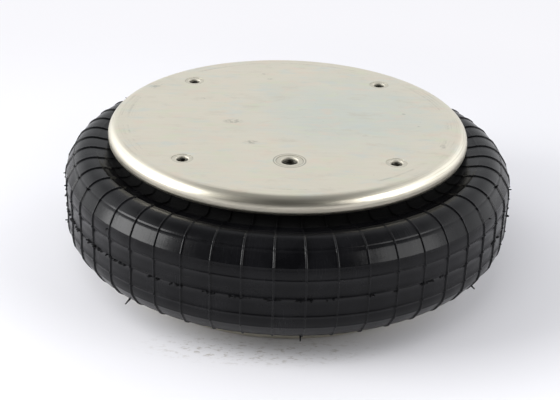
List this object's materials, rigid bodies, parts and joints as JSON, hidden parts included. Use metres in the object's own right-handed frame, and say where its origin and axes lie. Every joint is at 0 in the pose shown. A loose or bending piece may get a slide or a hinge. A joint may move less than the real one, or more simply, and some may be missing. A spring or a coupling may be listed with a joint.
{
  "type": "air bellows actuator",
  "caption": "Single-convolution air bellows actuator: a moulded rubber bellows crimped between round steel bead plates, with blind mounting nuts and a threaded air inlet in the top plate.",
  "frame": {"origin": "centre of the lower mounting face, on the stroke axis", "axes": "+Z along the stroke towards the top plate; the air inlet lies on the -Y side, midway between the two front blind nuts"},
  "size_m": [0.357, 0.357, 0.1185],
  "materials": {
    "zinc_plate": "pale zinc plating on drawn steel sheet, faintly streaked and blotched, satin",
    "zinc_nut": "zinc plating on turned steel, satin",
    "cover_rubber": "charcoal moulded rubber with vent ribs, matt with a soft sheen",
    "cord_ply": "rubberised cord fabric",
    "liner_rubber": "smooth black calendered rubber",
    "bead_wire": "bronze-plated steel bead wire"
  },
  "bodies": {
    "base": {"bottom_bead_plate": "zinc_plate", "bottom_blind_nut_1": "zinc_nut", "bottom_blind_nut_2": "zinc_nut", "bottom_blind_nut_3": "zinc_nut", "bottom_blind_nut_4": "zinc_nut", "bottom_bead_core": "bead_wire", "bottom_bead_filler": "liner_rubber"},
    "head": {"top_bead_plate": "zinc_plate", "top_blind_nut_1": "zinc_nut", "top_blind_nut_2": "zinc_nut", "top_blind_nut_3": "zinc_nut", "top_blind_nut_4": "zinc_nut", "air_inlet": "zinc_nut", "top_bead_core": "bead_wire", "top_bead_filler": "liner_rubber"},
    "bellows": {"outer_cover": "cover_rubber", "outer_ply": "cord_ply", "inner_ply": "cord_ply", "inner_liner": "liner_rubber"}
  },
  "joints": [
    {"name": "stroke", "type": "slide", "parent": "base", "child": "head", "axis": [0, 0, 1], "range_m": [-0.0435, 0.0595], "stiffness_N_per_m": 8000, "springref_m": 0.0028, "deforming": ["outer_cover", "outer_ply", "inner_ply", "inner_liner"]},
    {"name": "wall_follow", "type": "slide", "parent": "base", "child": "bellows", "axis": [0, 0, 1], "range_m": [-0.02175, 0.02975]}
  ],
  "couplings": [
    {"joint": "wall_follow", "follows": "stroke", "ratio": 0.5}
  ]
}
